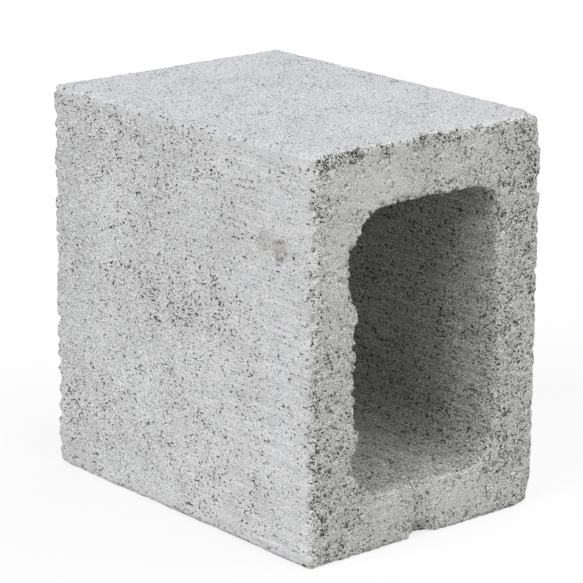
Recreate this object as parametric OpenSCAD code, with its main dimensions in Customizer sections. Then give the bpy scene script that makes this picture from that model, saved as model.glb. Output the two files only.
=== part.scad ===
// Hollow concrete half block, cast in one piece by a block press.
// It is drawn as it comes out of the mould, with its core upright and the moulded top up,
// and is then tipped onto one end, so that the core lies level and its wide mouth faces -Y.
// Millimetres. Origin at the middle of the end that it stands on, +Z up.

/* [Block] */
// Thickness of the wall that the block builds, from side face to side face
block_w = 140; // [110:1:240]
// Length along the course, which is the height when the block stands on its end
block_l = 190; // [150:1:300]
// Height of the course, which is the depth along the core
block_h = 190; // [90:1:250]
// Radius of the worn arris along every outer edge
arris_r = 2; // [1:0.5:8]

/* [Core] */
// Thickness of each side wall at the wide mouth of the core
side_wall = 27; // [18:1:34]
// Thickness of each end wall at the wide mouth of the core
end_wall = 29; // [18:1:40]
// Corner radius of the core at its wide mouth
core_r = 15; // [10:1:26]
// How much thicker each wall is at the narrow mouth, as draft to free the mould
draft = 4; // [0.5:0.5:7]
// Width of the worn rim round each mouth
rim_w = 1; // [0.5:0.5:5]
// Depth of the worn rim along the core
rim_h = 2; // [1:0.5:10]

/* [Core bar groove] */
// Width of the floor of the groove that the core bar leaves across the top of each end wall
groove_w = 9; // [6:1:30]
// Depth of the groove
groove_h = 2; // [1:0.5:8]
// How far each side of the groove leans out from its floor to the top
groove_lean = 3; // [0:0.5:8]

/* [Hidden] */
$fn = 64;
concrete = [0.76, 0.76, 0.75];
// Overlap that carries a cut clear of the face it leaves through
past = 1;
// The core at its narrow mouth, and its corner there, which always leaves some flat wall
narrow_w = block_w - 2 * (side_wall + draft);
narrow_l = block_l - 2 * (end_wall + draft);
narrow_r = min(core_r - draft, narrow_w / 2 - past, narrow_l / 2 - past);
// The core at its wide mouth
wide_w = narrow_w + 2 * draft;
wide_l = narrow_l + 2 * draft;
wide_r = narrow_r + draft;

// Rectangle of w by l on the origin, with round corners of radius r
module round_rectangle(w, l, r) {
    square([w - 2 * r, l], center = true);
    square([w, l - 2 * r], center = true);
    for (x = [-1, 1], y = [-1, 1])
        translate([x * (w / 2 - r), y * (l / 2 - r)])
            circle(r = r);
}

// Bar of w by l by h on the origin, with its four upright edges round
module round_bar(w, l, h, r) {
    linear_extrude(height = h, center = true)
        round_rectangle(w, l, r);
}

// Box with all twelve edges worn round: what three round bars along the three axes share
module worn_box(w, l, h, r) {
    intersection() {
        round_bar(w, l, h, r);
        rotate([90, 0, 0]) round_bar(w, h, l, r);
        rotate([0, 90, 0]) round_bar(h, l, w, r);
    }
}

// Upright wedge, `across` wide in X, whose length in Y grows from l by `lean` at each end over h
module wedge(across, l, h, lean) {
    rotate([90, 0, 90])
        linear_extrude(height = across, center = true)
            polygon([[-l / 2, 0], [l / 2, 0], [l / 2 + lean, h], [-l / 2 - lean, h]]);
}

// Plug with round corners that stands on z = 0 and leans out by `lean` all round over its height h:
// a cone at each corner, and a wedge each way between them
module leaning_plug(w, l, r, h, lean) {
    wedge(w - 2 * r, l, h, lean);
    rotate([0, 0, 90]) wedge(l - 2 * r, w, h, lean);
    for (x = [-1, 1], y = [-1, 1])
        translate([x * (w / 2 - r), y * (l / 2 - r), 0])
            cylinder(h = h, r1 = r, r2 = r + lean);
}

// Worn rim of the wide mouth, wider as it goes up and out through the moulded top
module wide_rim() {
    translate([0, 0, block_h / 2 - rim_h])
        leaning_plug(wide_w, wide_l, wide_r, rim_h * 2, rim_w * 2);
}

// Worn rim of the narrow mouth, wider as it goes down and out through the pallet side
module narrow_rim() {
    translate([0, 0, rim_h - block_h / 2])
        mirror([0, 0, 1])
            leaning_plug(narrow_w, narrow_l, narrow_r, rim_h * 2, rim_w * 2);
}

// Core that runs right through, wider towards the moulded top by the draft
module core() {
    translate([0, 0, -block_h / 2])
        leaning_plug(narrow_w, narrow_l, narrow_r, block_h, draft);
    wide_rim();
    narrow_rim();
}

// Groove of the core bar, across the moulded top from end to end at mid width
module core_bar_groove() {
    translate([0, 0, block_h / 2 - groove_h])
        rotate([0, 0, 90])
            wedge(block_l + 2 * past, groove_w, groove_h * 2, groove_lean * 2);
}

// Tips the moulded block onto its end, with the moulded top towards -Y
module stand_on_end() {
    translate([0, 0, block_l / 2])
        rotate([90, 0, 0])
            children();
}

module half_block() {
    color(concrete)
        stand_on_end()
            difference() {
                worn_box(block_w, block_l, block_h, arris_r);
                core();
                core_bar_groove();
            }
}

half_block();
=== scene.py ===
import math

import bpy
import numpy as np
from mathutils import Matrix, Vector, noise


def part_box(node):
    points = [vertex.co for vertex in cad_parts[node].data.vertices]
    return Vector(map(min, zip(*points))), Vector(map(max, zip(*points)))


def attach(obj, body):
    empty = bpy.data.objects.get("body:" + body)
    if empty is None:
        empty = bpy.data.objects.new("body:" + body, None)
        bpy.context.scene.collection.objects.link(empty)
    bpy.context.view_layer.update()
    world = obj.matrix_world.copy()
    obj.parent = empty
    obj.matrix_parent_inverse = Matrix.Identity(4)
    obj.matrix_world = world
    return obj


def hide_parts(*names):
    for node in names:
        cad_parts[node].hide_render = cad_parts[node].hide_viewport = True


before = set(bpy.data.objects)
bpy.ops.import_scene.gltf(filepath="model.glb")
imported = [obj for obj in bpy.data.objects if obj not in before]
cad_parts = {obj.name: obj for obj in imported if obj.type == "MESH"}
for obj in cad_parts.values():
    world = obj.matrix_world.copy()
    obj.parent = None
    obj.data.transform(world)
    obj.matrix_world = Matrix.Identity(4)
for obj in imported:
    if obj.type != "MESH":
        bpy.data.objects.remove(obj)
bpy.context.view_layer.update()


# The half block
# One casting of nearly dry concrete: cement, sand and small stone, shaken and pressed in a steel mould
# round a tapered core, pushed out at once and cured. Its sides drag along the mould and close up, its two
# mouth faces stay open and grainy, and the arrises and the rims of the core crumble as it is handled.
MM = 0.001
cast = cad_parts["half_block"]
low, high = (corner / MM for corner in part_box("half_block"))
half_w = (high.x - low.x) / 2
half_l = (high.y - low.y) / 2
height = high.z - low.z
half_h = height / 2

# The core at its wide mouth, and how much it narrows all round by the time it reaches the other side
core_half_w = 43.0
core_half_h = 66.0
core_corner = 15.0
core_draft = 4.0

# The groove of the core bar, across the wide mouth above and below the core
groove_depth = 2.0
groove_half_w = 7.5
groove_lean = 3.0

# A grid fine enough for single stones is laid over the cast shape before any of it is worn away
grid_size = 0.7
block = bpy.data.objects.new("worn_half_block", cast.data.copy())
bpy.context.scene.collection.objects.link(block)
fine_grid = block.modifiers.new("fine grid", "REMESH")
fine_grid.mode = "VOXEL"
fine_grid.voxel_size = grid_size * MM


def apply_modifiers(piece):
    """Gives the piece the mesh that its modifiers make, and takes them off."""
    made = bpy.data.meshes.new_from_object(piece.evaluated_get(bpy.context.evaluated_depsgraph_get()))
    piece.modifiers.clear()
    piece.data = made
    return made


def read_vectors(items, name):
    """One vector of three for each vertex or face of a mesh, as an array."""
    values = np.empty(len(items) * 3, np.float32)
    items.foreach_get(name, values)
    return values.reshape(-1, 3).astype(float)


mesh = apply_modifiers(block)
points = read_vectors(mesh.vertices, "co") / MM


def ease(start, end, value):
    """Goes smoothly from 0 at start to 1 at end."""
    share = np.clip((value - start) / (end - start), 0, 1)
    return share * share * (3 - 2 * share)


def lumps(size, shift, longer=(1, 1, 1)):
    """Smooth random swells about `size` millimetres across at every point, from -1 to 1."""
    return np.array([noise.noise(place) for place in (points / np.multiply(longer, size) + shift).tolist()])


def core_axes(places):
    """Distance past the flat of the core's walls, across and along, and the radius of the corner there."""
    narrowing = core_draft * (places[:, 1] + half_l) / (2 * half_l)
    corner = core_corner - narrowing
    across = np.abs(places[:, 0]) - (core_half_w - narrowing - corner)
    along = np.abs(places[:, 2] - half_h) - (core_half_h - narrowing - corner)
    return across, along, corner


def distances(places):
    """How far each place is from the side faces, mouth faces, end faces and core wall."""
    across, along, corner = core_axes(places)
    from_core = np.hypot(across.clip(0), along.clip(0)) + np.maximum(across, along).clip(None, 0) - corner
    to_side = half_w - np.abs(places[:, 0])
    to_mouth = half_l - np.abs(places[:, 1])
    to_end = half_h - np.abs(places[:, 2] - half_h)
    return to_side, to_mouth, to_end, from_core


def round_over(depth, other_depth, radius):
    """How far points near an edge, at a depth from each of its faces, go in from them to leave it round."""
    short = (radius - depth).clip(0)
    other_short = (radius - other_depth).clip(0)
    out_from_centre = np.maximum(np.hypot(short, other_short), radius)
    beyond = np.where(short * other_short > 0, 1 - radius / out_from_centre, 0)
    return beyond * short, beyond * other_short


# Rubbed arrises of the left side: wide at the mouth that faces the camera, and slight along the two ends
mouth_arris = 6.5
top_arris = 3.5
foot_arris = 3.0
# The three columns of the points, which follow every change that is made to the points in place
x, y, z = points.T
x_in, y_in = round_over(half_w + x, half_l + y, mouth_arris + 2.5 * lumps(11, 71.3))
points += np.stack([x_in, y_in, 0 * z], 1)
x_in, z_in = round_over(half_w + x, height - z, top_arris + lumps(11, 83.7))
points += np.stack([x_in, 0 * y, -z_in], 1)
x_in, z_in = round_over(half_w + x, z, foot_arris + lumps(11, 83.7))
points += np.stack([x_in, 0 * y, z_in], 1)

# Corners of the wide mouth that took knocks: both on the right, and the top one on the left
knock_reach = 16.0
knock_middle = 4.0
least_radius = 0.1


def wear_corner(side, end, radius):
    """Rounds the three arrises that meet at one corner of the wide mouth, less and less away from it."""
    inward = (-side, 1, -end)
    faces = (side * half_w, -half_l, half_h + end * half_h)
    depths = [(points[:, axis] - faces[axis]) * inward[axis] for axis in range(3)]
    here = least_radius + radius * ease(knock_reach, knock_middle, np.maximum.reduce(depths))
    for first, second in ((0, 1), (0, 2), (1, 2)):
        pair = [(points[:, axis] - faces[axis]) * inward[axis] for axis in (first, second)]
        for axis, step in zip((first, second), round_over(*pair, here)):
            points[:, axis] += step * inward[axis]


wear_corner(side=1, end=1, radius=7.0)
wear_corner(side=1, end=-1, radius=5.0)
wear_corner(side=-1, end=1, radius=6.0)

# The sill of the wide mouth is rubbed lower than the rest of the core's floor, and stays part of it
sill_drop = 2.2
to_side, to_mouth, to_end, from_core = distances(points)
points[:, 2] -= sill_drop * ease(32, 3, half_l + y) * ease(12, 28, z) * ease(60, 42, z)
mesh.vertices.foreach_set("co", (points * MM).astype(np.float32).ravel())
mesh.update()
normals = read_vectors(mesh.vertices, "normal")

# How much each point belongs to a mouth face, the core, an end or the left side, from 0 to 1
below_face = 3.0
at_face = 0.5
groove = groove_depth * ((groove_half_w - np.abs(x)) / groove_lean).clip(0, 1) * (y < 0)
on_mouth = ease(below_face, at_face, to_mouth - groove)
on_wide_mouth = on_mouth * (y < 0)
in_core = ease(below_face, at_face, from_core) * ease(0.3, 2.5, to_mouth)
on_skin = (1 - on_mouth) * (1 - in_core)
on_end = on_skin * ease(4.0, at_face, to_end)
on_left = on_skin * (1 - on_end) * (x < 0)

# Random swells from slow to fine, each with a shift of its own so that no two are alike, and bites that run
# on across a face or through the block
slow = lumps(30, 3.1)
swell = lumps(11, 17.3)
bead = lumps(5, 29.7)
nub = lumps(2.6, 41.9)
crumb = lumps(1.7, 57.3)
bite_across = lumps(4.2, 61.9, (9, 9, 1)) + 0.7 * lumps(9, 95.7, (5, 5, 1))
bite_through = lumps(3.2, 67.1, (1, 9, 1)) + 0.8 * lumps(7, 77.7, (1, 4, 1))
crumb_through = lumps(1.9, 91.3, (1, 6, 1))


def spot(sideways, across, up, reach_across, reach_up):
    """1 in the middle of a spot on an upright face, and 0 well outside it."""
    return np.exp(-((sideways - across) / reach_across) ** 2 - ((z - up) / reach_up) ** 2)


# How open the grain is, from 0 where the paste closed over to 1 where every stone stands clear
open_grain = 0.42 + (0.16 * slow + 0.12 * swell) * (1 - 0.5 * on_mouth)
open_grain -= 0.22 * on_end
open_grain += on_left * (
    0.20 * spot(y, -8, 103, 34, 16)
    + 0.08 * spot(y, -17, 25, 25, 15)
    + 0.07 * spot(y, -80, 140, 14, 14)
    + 0.07 * spot(y, -45, 160, 30, 16)
    + 0.10 * spot(y, -48, 80, 16, 16)
    - 0.07 * spot(y, -80, 47, 16, 16)
    + 0.12 * spot(y, 60, 172, 40, 22)
    + 0.14 * spot(y, 80, 30, 18, 24)
    - 0.16 * spot(y, 24, 56, 16, 12)
    - 0.05 * ease(-45, -70, y)
    + 0.16 * ease(-83, -92, y)
)
open_grain += on_wide_mouth * (
    0.05
    + 0.15 * ease(20, 60, x)
    + 0.07 * ease(130, 90, z) * ease(-30, -50, x)
    - 0.32 * spot(x, -32, 172, 26, 14)
    - 0.32 * spot(x, -58, 140, 12, 26)
    - 0.16 * spot(x, 18, 172, 24, 9)
    - 0.24 * spot(x, 20, 17, 26, 10)
    - 0.14 * spot(x, -24, 19, 12, 9)
    + (0.26 + 0.5 * swell) * ease(177, 187, z) * ease(75, 15, x)
    + (0.15 + 0.25 * swell) * ease(-54, -66, x)
    + 0.30 * spot(x, -2, 8, 7, 16)
)
open_grain += 0.20 * on_mouth * (y > 0)
open_grain += 0.10 * in_core
open_grain += 0.08 * on_skin * ease(5, 1, np.maximum(to_side, to_end))
open_grain = open_grain.clip(0, 1)

# Depth lost in millimetres: the grain of the mouth faces, slow unevenness of the skin, and open pits
grain = (0.40 + 0.15 * swell + 0.22 * bead + 0.42 * nub + 0.40 * crumb).clip(0, None)
grain *= on_mouth * (0.4 + open_grain)
uneven = (0.12 + 0.10 * swell + 0.08 * bead) * (1 - on_mouth)
pit_noise = 0.35 * bead + 0.8 * nub + 0.8 * crumb
pit_start = 0.72 - 0.42 * open_grain
pits = (0.35 + 0.55 * on_mouth) * ease(pit_start, pit_start + 0.35, pit_noise)

# Crumbled arrises: ragged where a mouth face meets a side, frayed where it meets an end, and cleaner where a
# side meets an end
arris_side = np.maximum(to_side, to_mouth)
arris_end = np.maximum(to_end, to_mouth)
arris_long = np.maximum(to_side, to_end)
ragged = -0.3 + 0.7 * (x < 0) + slow + 1.5 * swell + 1.9 * bead + 1.1 * nub
ragged += 2.0 * bite_across
ragged += (x < 0) * (y > 0) * (0.4 - 0.4 * bead + nub + bite_across)
ragged = ragged.clip(0, 3.2)
frayed = (0.2 + 0.6 * swell + 0.8 * bead + 0.7 * nub).clip(0, 1.8) * (1 - 0.7 * (z < half_h))
clean = (0.1 + 0.4 * swell + 0.5 * bead + 0.3 * nub).clip(0, 1.2)
crumble = np.maximum.reduce([
    ragged * ease(4.5, 0.5, arris_side),
    frayed * ease(3.5, 0.5, arris_end),
    clean * ease(3.5, 0.5, arris_long),
])

# Rims of the core: crisp and bitten on the left and along the head of the wide mouth, with a notch and a few
# stones that stand out, and rubbed softer all round the rest
notch_depth = 4.4
to_rim = np.hypot(from_core.clip(0), to_mouth)
crisp_rim = np.maximum(ease(-20, -34, x), ease(30, 10, x) * ease(half_h, 155, z)) * (y < 0)
crumbs = (0.3 + 5.0 * crumb_through + 2.0 * nub).clip(-0.4, 1.8)
bitten = (0.1 + swell + 1.2 * bead + 1.8 * bite_through).clip(0, 2.5) * ease(3.5, 0.5, to_rim)
notch = ease(150, 138, z) * ease(115, 132, z) * ease(-30, -40, x)
bitten += (notch_depth + 1.6 * bite_through) * notch * ease(8, 1, to_rim)
stones = 2.8 * spot(x, -43, 57, 9, 5.5) + 0.7 * spot(x, -43, 112, 6, 4) + 0.8 * spot(x, -40, 156, 9, 9)
stones += 1.8 * spot(x, -38, 31, 7, 7)
bitten += 1.5 * spot(x, -43, 46, 8, 4) * ease(4, 0.5, to_rim)
bitten = bitten * (1 - 0.8 * stones.clip(0, 1)) - 1.6 * stones * ease(5, 0.5, to_rim)
bitten += crumbs * ease(4 + 4 * notch, 1 + 3 * notch, to_rim)
rubbed = (0.7 + 0.9 * swell + bead + 0.8 * nub).clip(0, 3) * ease(6, 0.5, to_rim)
rubbed *= 1 - 0.8 * ease(40, 32, z) * (y < 0)
rim_loss = crisp_rim * bitten + (1 - crisp_rim) * rubbed

# A piece that broke away at the foot of the core bar's groove
broken_depth = 2.8
broken = broken_depth * ease(-11, -3, x) * ease(12, -4, x) * ease(9, 1, np.maximum(z, half_l + y))

loss = uneven + grain + pits + np.maximum.reduce([crumble, rim_loss, broken])
loss += np.minimum(rim_loss, 0)
worn = points - normals * loss[:, None]
mesh.vertices.foreach_set("co", (worn * MM).astype(np.float32).ravel())


def mark(name, values):
    """Keeps one number for each vertex, for the concrete's own nodes to read."""
    layer = mesh.attributes.new(name, "FLOAT", "POINT")
    layer.data.foreach_set("value", values.astype(np.float32))


# What the colours and the fine relief depend on, point by point
mark("open_grain", open_grain)
mark("pit_depth", pits * on_mouth)
dragged_smooth = on_left * ease(20, -50, y)
mark("drag", dragged_smooth + 0.2 * on_skin + 2.3 * in_core)
mark("dragged_smooth", dragged_smooth)
mark("end_face", on_end)
mark("left_face", on_left)
# Paler paste towards the wide mouth on the left side, along the head of the wide mouth and on the ends;
# and painted light: the low part of the left side is made paler, as if lit from the floor.
pale_paste_and_painted_light = on_left * (0.4 * ease(20, -60, y) + 0.6 * ease(110, 40, z) - 0.8 * ease(50, 85, y))
pale_paste_and_painted_light += 0.4 * on_wide_mouth * ease(156, 166, z) + 0.5 * on_end
mark("pale_paste_and_painted_light", pale_paste_and_painted_light)
mark("core_wall", in_core)
by_mouth = np.maximum(half_w + x, half_l + y)
by_end = np.maximum(half_w + x, to_end)
mark("rubbed_arris", np.maximum(0.45 * ease(6, 2, by_mouth), ease(8, 2, by_end)))
mark("mouth_face", np.maximum(on_mouth, 0.6 * in_core))

# Flat stretches need few faces, so the count comes down and the worn places keep theirs
most_faces = 190000
fewer_faces = block.modifiers.new("fewer faces", "DECIMATE")
fewer_faces.ratio = most_faces / (2 * len(mesh.polygons))
mesh.update()
mesh = apply_modifiers(block)
mesh.polygons.foreach_set("use_smooth", np.ones(len(mesh.polygons), bool))
inside = read_vectors(mesh.vertices, "co").clip(low * MM, high * MM)
mesh.vertices.foreach_set("co", inside.astype(np.float32).ravel())

# Each face of the block is spread out flat on its own part of one sheet, at one scale
sheet_size = 580.0
margin = 2.5
middles = read_vectors(mesh.polygons, "center") / MM
nearest = np.stack(distances(middles)).argmin(0)
across, along = core_axes(middles)[:2]
patch = np.select(
    [nearest == 0, nearest == 1, nearest == 2, across > along],
    [middles[:, 0] > 0, 2 + (middles[:, 1] > 0), 4 + (middles[:, 2] > half_h), 6 + (middles[:, 0] > 0)],
    8 + (middles[:, 2] > half_h),
).astype(int)
# For each patch: the two axes it is spread along, and where its corner lies on the sheet
tall = 2 * half_l + margin
wide = 2 * half_w + margin
deep = 2 * core_half_h + margin
sheet_places = [
    (1, 2, 0, 0), (1, 2, tall, 0),
    (0, 2, 0, tall), (0, 2, wide, tall),
    (0, 1, 2 * tall, 0), (0, 1, 2 * wide, tall),
    (2, 1, 0, 2 * tall), (2, 1, deep, 2 * tall),
    (0, 1, 3 * wide, tall), (0, 1, 2 * deep, 2 * tall),
]
corner_vertex = np.empty(len(mesh.loops), np.int32)
mesh.loops.foreach_get("vertex_index", corner_vertex)
face_corners = np.empty(len(mesh.polygons), np.int32)
mesh.polygons.foreach_get("loop_total", face_corners)
corner_patch = np.repeat(patch, face_corners)
corner_place = inside[corner_vertex] / MM
flat = np.zeros((len(corner_vertex), 2))
for number, (first, second, left, bottom) in enumerate(sheet_places):
    mine = corner_patch == number
    spread = corner_place[mine][:, [first, second]]
    flat[mine] = spread - spread.min(0) + (left + margin, bottom + margin)
mesh.uv_layers.new(name="OFBake").uv.foreach_set("vector", (flat / sheet_size).astype(np.float32).ravel())

concrete = bpy.data.materials.new("pressed_concrete")
concrete.use_nodes = True
tree = concrete.node_tree
shader = tree.nodes["Principled BSDF"]
position = tree.nodes.new("ShaderNodeTexCoord")


def feed(socket, value):
    """Links a socket to a node's output, or sets it to a plain value."""
    if isinstance(value, bpy.types.NodeSocket):
        tree.links.new(value, socket)
    else:
        socket.default_value = value


def calc(operation, *values):
    """One step of arithmetic on numbers or outputs."""
    step = tree.nodes.new("ShaderNodeMath")
    step.operation = operation
    for socket, value in zip(step.inputs, values):
        feed(socket, value)
    return step.outputs[0]


def between(value, start, end):
    """Goes smoothly from 0 at start to 1 at end."""
    span = tree.nodes.new("ShaderNodeMapRange")
    span.interpolation_type = "SMOOTHSTEP"
    feed(span.inputs["Value"], value)
    feed(span.inputs["From Min"], start)
    feed(span.inputs["From Max"], end)
    return span.outputs["Result"]


def blend(share, first, second, way="MIX"):
    """Colour between first and second."""
    mix = tree.nodes.new("ShaderNodeMix")
    mix.data_type = "RGBA"
    mix.blend_type = way
    feed(mix.inputs["Factor"], share)
    feed(mix.inputs[6], first)
    feed(mix.inputs[7], second)
    return mix.outputs[2]


def speckle(size, detail=1.0, stretch=(1, 1, 1)):
    """Random cloud about `size` millimetres across, longer where stretch is larger, round 0.5."""
    mapping = tree.nodes.new("ShaderNodeMapping")
    tree.links.new(position.outputs["Object"], mapping.inputs["Vector"])
    mapping.inputs["Scale"].default_value = [1 / (MM * size * longer) for longer in stretch]
    cloud = tree.nodes.new("ShaderNodeTexNoise")
    tree.links.new(mapping.outputs["Vector"], cloud.inputs["Vector"])
    cloud.inputs["Scale"].default_value = 1.0
    cloud.inputs["Detail"].default_value = detail
    return cloud.outputs["Fac"]


def marked(name):
    """The number kept at each vertex under this name."""
    layer = tree.nodes.new("ShaderNodeAttribute")
    layer.attribute_name = name
    return layer.outputs["Fac"]


def swing(cloud, amount):
    """A cloud as a swing round 0."""
    return calc("MULTIPLY", calc("SUBTRACT", cloud, 0.5), amount)


openness = marked("open_grain")

# Cement paste in slow clouds, with pale and dark sand, and faint lines where it dragged along the mould.
# Closed paste is a cool grey, and open grain shows more of the warmer sand.
paste_dark = (0.22, 0.22, 0.22, 1)
paste_pale = (0.94, 0.94, 0.94, 1)
closed_tint = (0.975, 0.977, 1.0, 1)
open_tint = (1.0, 0.995, 0.99, 1)
end_tint = (0.955, 0.963, 1.0, 1)
mouth_tint = (1.0, 0.995, 0.95, 1)
sand_size = 0.45
grit_size = 1.3
line_width = 0.9
dragged = (1, 1.7, 1)
drawn_out = (1, 28, 1)
patch_size = 9
cloud_size = 32
cloud_swing = 0.16
line_swing = 0.34
# Painted shade: the walls of the core are made darker, as the shade inside the hollow.
core_painted_shade = 0.13
# Painted shade: the rubbed arrises are made a little darker, against the glints the lamps leave on them.
arris_painted_shade = 0.05
# Paler paste, and painted light that makes the low part of the left side paler.
pale_and_painted_light_lift = 0.07
sand = speckle(sand_size, 0, dragged)
grit = speckle(grit_size, 2, dragged)
drag_lines = speckle(line_width, 1, drawn_out)
sand_swing = calc("MULTIPLY_ADD", marked("dragged_smooth"), -0.5, 1.4)
open_mouth = calc("MULTIPLY", marked("mouth_face"), openness)
sand_swing = calc("MULTIPLY_ADD", open_mouth, 0.9, sand_swing)
sand_swing = calc("MULTIPLY_ADD", marked("core_wall"), 0.35, sand_swing)
sand_swing = calc("MULTIPLY_ADD", marked("end_face"), 0.5, sand_swing)
sand_swing = calc("MULTIPLY_ADD", marked("rubbed_arris"), -0.9, sand_swing)
grit_swing = calc("MULTIPLY_ADD", marked("end_face"), 0.3, 0.2)
tone = calc("ADD", swing(sand, sand_swing), swing(grit, grit_swing))
tone = calc("ADD", tone, swing(speckle(patch_size, 2), cloud_swing))
tone = calc("ADD", tone, swing(speckle(cloud_size, 1), cloud_swing))
tone = calc("ADD", tone, calc("MULTIPLY", swing(drag_lines, line_swing), marked("drag")))
# Painted shade: darker on the walls of the core.
tone = calc("SUBTRACT", tone, calc("MULTIPLY", marked("core_wall"), core_painted_shade))
# Paler paste, and painted light on the low part of the left side.
tone = calc("ADD", tone, calc("MULTIPLY", marked("pale_paste_and_painted_light"), pale_and_painted_light_lift))
# Painted shade: a little darker on the rubbed arrises.
tone = calc("SUBTRACT", tone, calc("MULTIPLY", marked("rubbed_arris"), arris_painted_shade))
paste = blend(calc("ADD", tone, 0.5), paste_dark, paste_pale)
tint = blend(marked("end_face"), blend(openness, closed_tint, open_tint), end_tint)
tint = blend(marked("mouth_face"), tint, mouth_tint)
paste = blend(1.0, paste, tint, "MULTIPLY")

# Open pores: crooked gaps between the grains, a few here and many there, where the paste didn't close over
# Painted shade: the gaps are painted near black, as the shade inside them.
pore_painted_shade = (0.03, 0.03, 0.028, 1)
pore_share = calc("MULTIPLY_ADD", marked("end_face"), 0.22, openness)
pore_share = calc("MULTIPLY_ADD", marked("mouth_face"), 0.08, pore_share)
widest_gap = 0.22
gap_growth = 1.1
gap_edge = 0.03
thicket_size = 6
pore_cover = 0.95
pit_cover = 0.35
bend_size = 1.3
bend_reach = 1.4
bend = tree.nodes.new("ShaderNodeTexNoise")
tree.links.new(position.outputs["Object"], bend.inputs["Vector"])
bend.inputs["Scale"].default_value = 1 / (bend_size * MM)
bend.inputs["Detail"].default_value = 1.0
bent = tree.nodes.new("ShaderNodeVectorMath")
bent.operation = "MULTIPLY_ADD"
tree.links.new(bend.outputs["Color"], bent.inputs[0])
bent.inputs[1].default_value = (bend_reach * MM, bend_reach * MM, bend_reach * MM)
tree.links.new(position.outputs["Object"], bent.inputs[2])


def gaps(grain, cluster, fewest, more_open):
    """1 in gaps between grains of a size, in clusters of a size, with more where the grain is open."""
    spaced = tree.nodes.new("ShaderNodeMapping")
    tree.links.new(bent.outputs["Vector"], spaced.inputs["Vector"])
    spaced.inputs["Scale"].default_value = [1 / (MM * grain * longer) for longer in dragged]
    grains = tree.nodes.new("ShaderNodeTexVoronoi")
    grains.feature = "DISTANCE_TO_EDGE"
    tree.links.new(spaced.outputs["Vector"], grains.inputs["Vector"])
    grains.inputs["Scale"].default_value = 1.0
    clusters = calc("ADD", swing(speckle(cluster, 1, dragged), 1.0), swing(speckle(thicket_size, 1), 0.3))
    room = calc("SUBTRACT", clusters, calc("MULTIPLY_ADD", pore_share, -more_open, fewest))
    width = calc("MINIMUM", calc("MULTIPLY", room, gap_growth), widest_gap)
    return between(grains.outputs["Distance"], width, calc("SUBTRACT", width, gap_edge))


fine_gaps = gaps(grain=1.1, cluster=1.2, fewest=0.205, more_open=0.27)
coarse_gaps = gaps(grain=1.9, cluster=2.2, fewest=0.27, more_open=0.08)
pores = calc("MAXIMUM", fine_gaps, coarse_gaps)
# Painted shade on the floors of the deeper pits.
pit_painted_shade = between(marked("pit_depth"), 0.1, 0.8)

# A brownish stain on the left side near the wide mouth: a soft blotch that dried darker at one side of its
# rim, and a paler patch beside it
stain_tint = (0.46, 0.43, 0.37, 1)
stain_place = (-73.5, 144)
stain_r = 3.8
patch_place = (-63, 145)
place = tree.nodes.new("ShaderNodeSeparateXYZ")
tree.links.new(position.outputs["Object"], place.inputs["Vector"])


def away_from(along, up):
    """Distance in millimetres from a place on the left side, a little unsteady."""
    off_along = calc("SUBTRACT", calc("DIVIDE", place.outputs["Y"], MM), along)
    off_up = calc("SUBTRACT", calc("DIVIDE", place.outputs["Z"], MM), up)
    squares = calc("ADD", calc("MULTIPLY", off_along, off_along), calc("MULTIPLY", off_up, off_up))
    return calc("ADD", calc("SQRT", squares), swing(speckle(3, 1), 3.0))


from_middle = away_from(*stain_place)
stain_rim = between(calc("ABSOLUTE", calc("SUBTRACT", from_middle, stain_r)), 3.0, 0.2)
stain_rim = calc("MULTIPLY", stain_rim, between(speckle(4, 1), 0.37, 0.57))
blotch = calc("MULTIPLY", between(from_middle, 7.0, 3.0), 0.5)
patch_beside = calc("MULTIPLY", between(away_from(*patch_place), 8.0, 3.0), 0.33)
stain = calc("MAXIMUM", calc("MAXIMUM", calc("MULTIPLY", stain_rim, 0.95), blotch), patch_beside)
stain = calc("MULTIPLY", stain, marked("left_face"))
paste = blend(stain, paste, blend(1.0, paste, stain_tint, "MULTIPLY"))

# Painted shade in the pores and the deeper pits, laid over the paste's colour.
pore_and_pit_painted_shade = calc("MAXIMUM", calc("MULTIPLY", pores, pore_cover), calc("MULTIPLY", pit_painted_shade, pit_cover))
tree.links.new(blend(pore_and_pit_painted_shade, paste, pore_painted_shade), shader.inputs["Base Color"])

# Fine relief: pores go in, sand and grit stand out, less where an arris is rubbed. The whole is dull.
relief_depth = 0.6
paste_roughness = 0.82
sand_roughness = 0.2
gloss = 0.2
relief = calc("ADD", swing(sand, 1.2), swing(grit, 1.2))
relief = calc("MULTIPLY", relief, calc("ADD", openness, 0.15))
relief = calc("MULTIPLY", relief, calc("MULTIPLY_ADD", marked("rubbed_arris"), -0.8, 1.0))
relief = calc("SUBTRACT", relief, calc("MULTIPLY", pores, 0.8))
bump = tree.nodes.new("ShaderNodeBump")
bump.inputs["Distance"].default_value = relief_depth * MM
bump.inputs["Strength"].default_value = 1.0
tree.links.new(relief, bump.inputs["Height"])
tree.links.new(bump.outputs["Normal"], shader.inputs["Normal"])
shader.inputs["Specular IOR Level"].default_value = gloss
roughness = calc("ADD", paste_roughness, calc("MULTIPLY", sand, sand_roughness))
tree.links.new(roughness, shader.inputs["Roughness"])

mesh.materials.clear()
mesh.materials.append(concrete)
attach(block, "root")
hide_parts("half_block")


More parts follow.
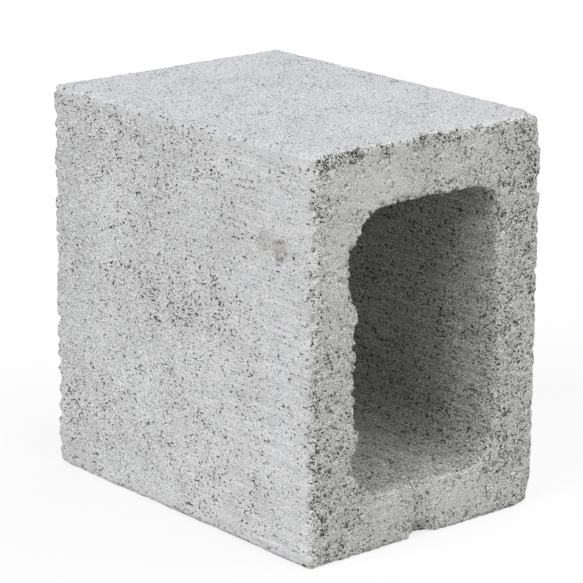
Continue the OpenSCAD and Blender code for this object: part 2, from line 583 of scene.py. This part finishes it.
# The floor
# A wide sheet of matt paper. Seen by the camera it is almost as bright as white paper in full light, so only
# a soft trace of the block's shadow stays on it; for the light it sends back to the block it is pale grey.
floor_reach = 3.0
paper_seen = (0.90, 0.90, 0.90, 1)
paper_grey = (0.36, 0.36, 0.36, 1)
paper_glow = 0.8
paper_roughness = 0.9
floor_mesh = bpy.data.meshes.new("floor")
corners = [(sx * floor_reach, sy * floor_reach, 0) for sx, sy in ((-1, -1), (1, -1), (1, 1), (-1, 1))]
floor_mesh.from_pydata(corners, [], [(0, 1, 2, 3)])
floor = bpy.data.objects.new("floor", floor_mesh)
bpy.context.scene.collection.objects.link(floor)
paper = bpy.data.materials.new("white_paper")
paper.use_nodes = True
paper_tree = paper.node_tree


def seen_directly(nodes_of):
    """1 for a ray from the camera, straight or by way of gloss or glass, and 0 for light on its way."""
    path = nodes_of.nodes.new("ShaderNodeLightPath")
    total = path.outputs["Is Camera Ray"]
    for kind in ("Is Glossy Ray", "Is Transmission Ray"):
        most = nodes_of.nodes.new("ShaderNodeMath")
        most.operation = "MAXIMUM"
        nodes_of.links.new(total, most.inputs[0])
        nodes_of.links.new(path.outputs[kind], most.inputs[1])
        total = most.outputs[0]
    return total


looked_at = seen_directly(paper_tree)
paper_colour = paper_tree.nodes.new("ShaderNodeMix")
paper_colour.data_type = "RGBA"
paper_tree.links.new(looked_at, paper_colour.inputs["Factor"])
paper_colour.inputs[6].default_value = paper_grey
paper_colour.inputs[7].default_value = paper_seen
paper_face = paper_tree.nodes["Principled BSDF"]
paper_face.inputs["Roughness"].default_value = paper_roughness
paper_tree.links.new(paper_colour.outputs[2], paper_face.inputs["Base Color"])
glow = paper_tree.nodes.new("ShaderNodeEmission")
glow_share = paper_tree.nodes.new("ShaderNodeMath")
glow_share.operation = "MULTIPLY"
glow_share.inputs[1].default_value = paper_glow
paper_mix = paper_tree.nodes.new("ShaderNodeMixShader")
paper_tree.links.new(looked_at, glow_share.inputs[0])
paper_tree.links.new(glow_share.outputs[0], paper_mix.inputs["Fac"])
paper_tree.links.new(paper_face.outputs[0], paper_mix.inputs[1])
paper_tree.links.new(glow.outputs[0], paper_mix.inputs[2])
paper_tree.links.new(paper_mix.outputs[0], paper_tree.nodes["Material Output"].inputs["Surface"])
floor_mesh.materials.append(paper)


# Light
# Two wide soft lamps, one level with the left side and one high in front on the right, and an even pale room
# all round that fills the shaded faces. Looked at directly, the room is plain white.
room_strength = 0.11
room_tint = (0.95, 0.98, 1, 1)
wall_white = (1, 1, 1, 1)


def soft_lamp(name, azimuth, elevation, width, strength):
    """A lamp far off. Its azimuth counts as the camera's does, and its strength is on a face turned to it."""
    lamp = bpy.data.objects.new(name, bpy.data.lights.new(name, "SUN"))
    bpy.context.scene.collection.objects.link(lamp)
    lamp.data.energy = strength * math.pi
    lamp.data.angle = math.radians(width)
    turned, raised = math.radians(azimuth), math.radians(elevation)
    level = math.cos(raised)
    towards = Vector((math.sin(turned) * level, -math.cos(turned) * level, math.sin(raised)))
    lamp.rotation_mode = "QUATERNION"
    lamp.rotation_quaternion = towards.to_track_quat("Z", "Y")


soft_lamp("left_lamp", azimuth=-90, elevation=25, width=50, strength=0.80)
soft_lamp("front_lamp", azimuth=45, elevation=42, width=120, strength=0.98)
room = bpy.data.worlds.new("white_room")
bpy.context.scene.world = room
room.use_nodes = True
room_tree = room.node_tree
fill = room_tree.nodes["Background"]
fill.inputs["Color"].default_value = room_tint
fill.inputs["Strength"].default_value = room_strength
wall = room_tree.nodes.new("ShaderNodeBackground")
wall.inputs["Color"].default_value = wall_white
wall.inputs["Strength"].default_value = 1
room_mix = room_tree.nodes.new("ShaderNodeMixShader")
room_tree.links.new(seen_directly(room_tree), room_mix.inputs["Fac"])
room_tree.links.new(fill.outputs[0], room_mix.inputs[1])
room_tree.links.new(wall.outputs[0], room_mix.inputs[2])
room_tree.links.new(room_mix.outputs[0], room_tree.nodes["World Output"].inputs["Surface"])


# Camera
# Far off with a long lens, a little above the block, looking at its left side and its wide mouth. It leans by
# half a degree.
azimuth = math.radians(-40.56)
elevation = math.radians(16.21)
camera_distance = 1.3646
lean = math.radians(0.5)
lens = 177.0
film_width = 36.0
aim_right = -0.08 * MM
aim_up = 0.96 * MM
back = Vector((
    math.sin(azimuth) * math.cos(elevation),
    -math.cos(azimuth) * math.cos(elevation),
    math.sin(elevation),
))
right = Vector((0, 0, 1)).cross(back).normalized()
up = back.cross(right)
camera = bpy.data.objects.new("camera", bpy.data.cameras.new("camera"))
bpy.context.scene.collection.objects.link(camera)
camera.data.lens = lens
camera.data.sensor_width = film_width
middle = Vector((0, 0, half_h * MM))
turn = Matrix((right, up, back)).transposed().to_4x4() @ Matrix.Rotation(lean, 4, "Z")
stand = middle + back * camera_distance + right * aim_right + up * aim_up
camera.matrix_world = Matrix.Translation(stand) @ turn
bpy.context.scene.camera = camera
bpy.context.scene.view_settings.view_transform = "Standard"
